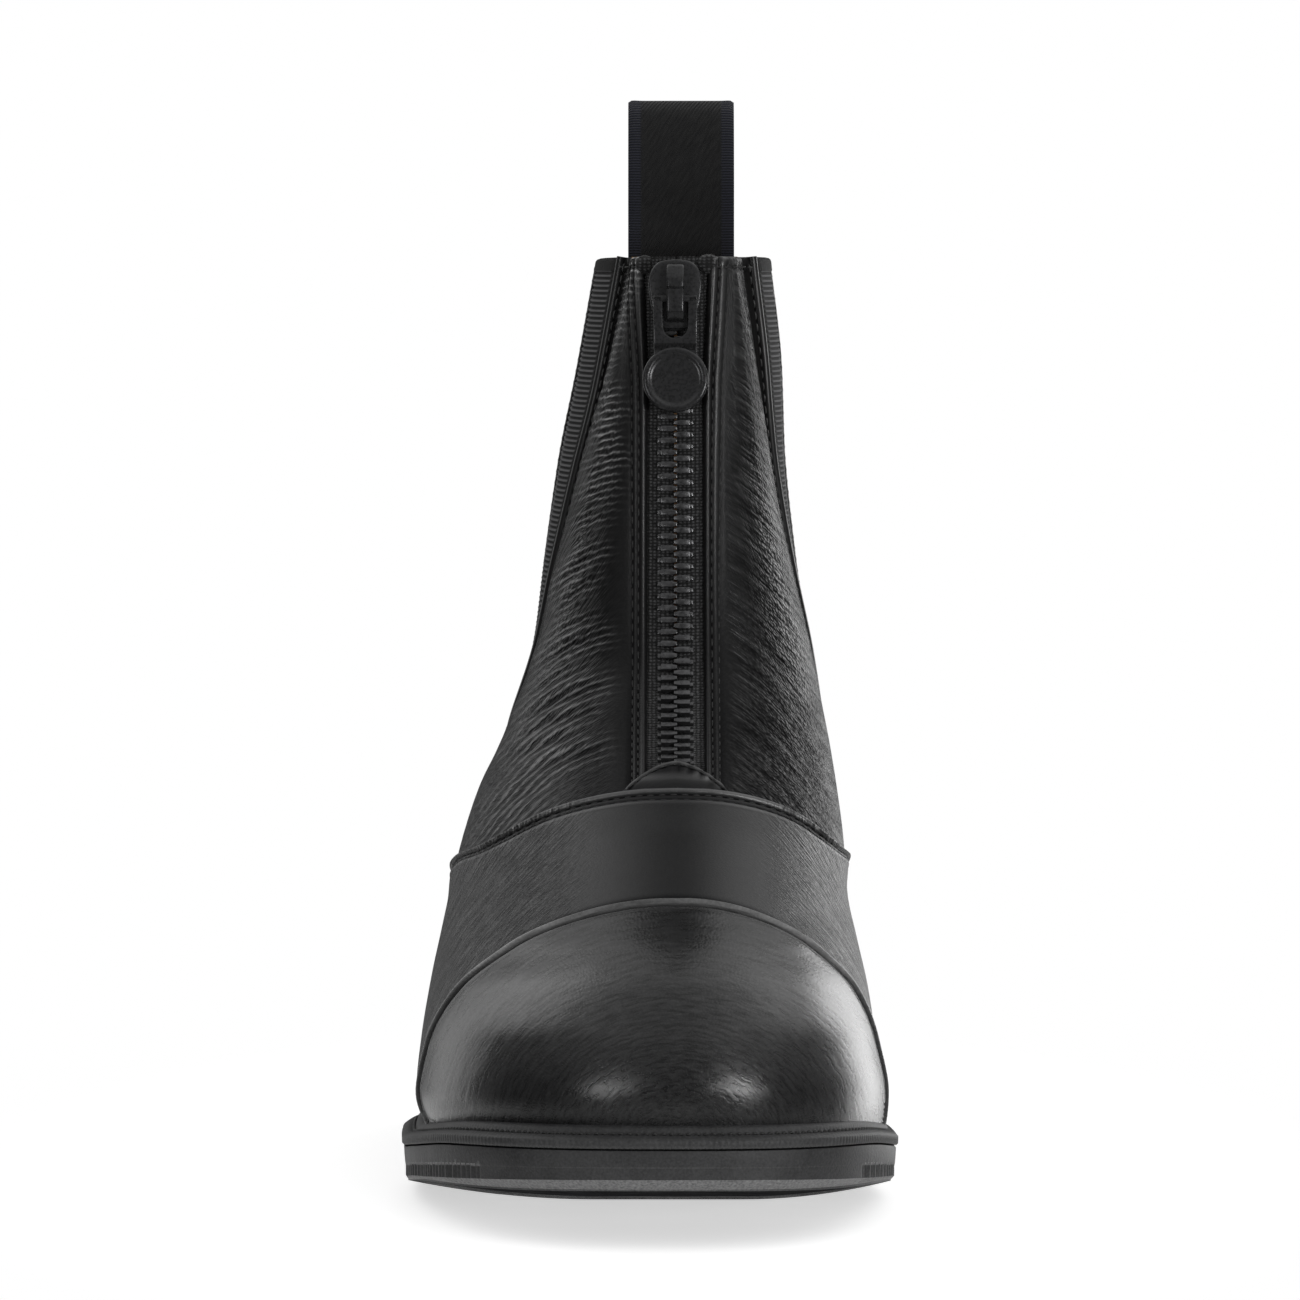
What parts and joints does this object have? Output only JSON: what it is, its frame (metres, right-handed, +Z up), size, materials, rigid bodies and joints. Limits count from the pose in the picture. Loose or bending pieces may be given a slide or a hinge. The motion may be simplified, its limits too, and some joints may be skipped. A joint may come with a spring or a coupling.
{
  "type": "front-zip riding boot",
  "caption": "Short black leather riding boot for the right foot, with a front zip, toe cap, elastic side gores, sloped welt, low heel and a pull loop at the back.",
  "frame": {"origin": "on the floor, at the centre of the boot's bounding box", "axes": "+Z up from the floor, +Y from the toe towards the heel, +X from the outer side of the foot towards the inner side"},
  "size_m": [0.1044, 0.293, 0.234],
  "materials": {
    "leather": "soft pebbled black leather",
    "cap_leather": "smooth polished black leather",
    "rubber": "matt black rubber",
    "board": "tan insole board",
    "elastic": "ribbed charcoal elastic",
    "webbing": "black woven webbing",
    "zip_metal": "black coated metal"
  },
  "bodies": {
    "boot": {"outsole": "rubber", "heel": "rubber", "welt": "rubber", "insole": "board", "upper": "leather", "toe_cap": "cap_leather", "vamp_edge": "leather", "zip_patch": "leather", "gore_lateral": "elastic", "gore_medial": "elastic", "zip_tape_lateral": "webbing", "zip_tape_medial": "webbing", "zip_teeth_lateral": "zip_metal", "zip_teeth_medial": "zip_metal", "zip_slider": "zip_metal", "pull_loop": "webbing"},
    "pull_tab": {"zip_pull": "zip_metal"}
  },
  "joints": [
    {"name": "pull_hinge", "type": "hinge", "parent": "boot", "child": "pull_tab", "pos_m": [0.0058, -0.00315, 0.1887], "axis": [-1, 0, 0], "range_deg": [0, 140]}
  ]
}
